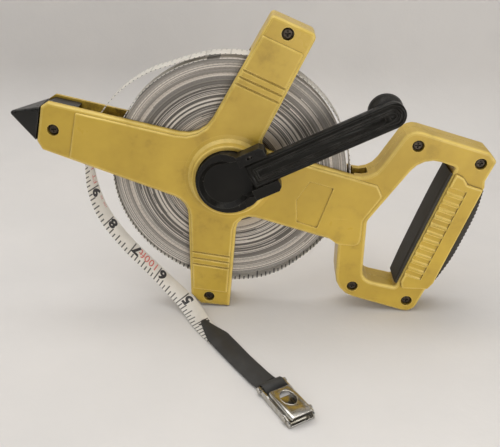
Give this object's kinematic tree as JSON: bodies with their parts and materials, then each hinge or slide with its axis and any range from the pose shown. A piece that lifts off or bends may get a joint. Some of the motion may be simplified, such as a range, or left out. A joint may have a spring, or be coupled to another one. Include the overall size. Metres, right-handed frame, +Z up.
{
  "type": "open-reel tape measure",
  "caption": "Open-reel long tape measure with a yellow frame, black folding crank, ribbed D handle, ground spike and a leader strap with a plated end hook.",
  "frame": {"origin": "on the floor, below the middle of the frame with its crank", "axes": "+X towards the handle, +Y away from the crank side, +Z up"},
  "size_m": [0.3126, 0.1441, 0.204],
  "materials": {
    "yellow_plastic": "satin moulded",
    "black_plastic": "satin moulded",
    "black_rubber": "matt",
    "dark_steel": "dull",
    "nickel_plate": "bright plated",
    "white_tape": "coated glass fibre",
    "drum_plastic": "moulded",
    "strap_vinyl": "smooth"
  },
  "bodies": {
    "frame": {"front_shell": "yellow_plastic", "rear_shell": "yellow_plastic", "ground_spike": "black_plastic", "finger_grip": "black_rubber", "palm_grip": "black_rubber", "left_arm_screw": "dark_steel", "top_arm_screw": "dark_steel", "foot_screw": "dark_steel", "handle_screw_top_left": "dark_steel", "handle_screw_top_right": "dark_steel", "handle_screw_bottom_left": "dark_steel", "handle_screw_bottom_right": "dark_steel", "free_tape": "white_tape", "tape_strap": "strap_vinyl"},
    "reel": {"reel_drum": "drum_plastic", "tape_roll": "white_tape", "crank_hub": "black_plastic", "crank_hinge_pin": "dark_steel", "rear_cap": "black_plastic", "reel_screw": "dark_steel"},
    "crank": {"crank_arm": "black_plastic", "knob_pin": "dark_steel"},
    "knob": {"crank_knob": "black_plastic"},
    "hook": {"hook_body": "nickel_plate", "hook_strap_pin": "nickel_plate", "hook_claw_pin": "nickel_plate"},
    "claw": {"hook_claw": "nickel_plate"}
  },
  "joints": [
    {"name": "reel_spin", "type": "hinge", "parent": "frame", "child": "reel", "pos_m": [-0.0135, 0.00755, 0.10165], "axis": [0, 1, 0], "continuous": true},
    {"name": "crank_fold", "type": "hinge", "parent": "reel", "child": "crank", "pos_m": [0.00555, -0.01865, 0.11099], "axis": [0.4384, 0, -0.8988], "range_deg": [0, 180]},
    {"name": "knob_spin", "type": "hinge", "parent": "crank", "child": "knob", "pos_m": [0.08267, -0.01865, 0.14856], "axis": [0, 1, 0], "continuous": true},
    {"name": "hook_lift", "type": "hinge", "parent": "frame", "child": "hook", "pos_m": [0.0167, -0.08995, 0.0036], "axis": [-0.8434, -0.5373, 0], "range_deg": [0, 60]},
    {"name": "claw_open", "type": "hinge", "parent": "hook", "child": "claw", "pos_m": [0.03121, -0.11272, 0.0036], "axis": [0.8434, 0.5373, 0], "range_deg": [0, 45]}
  ]
}
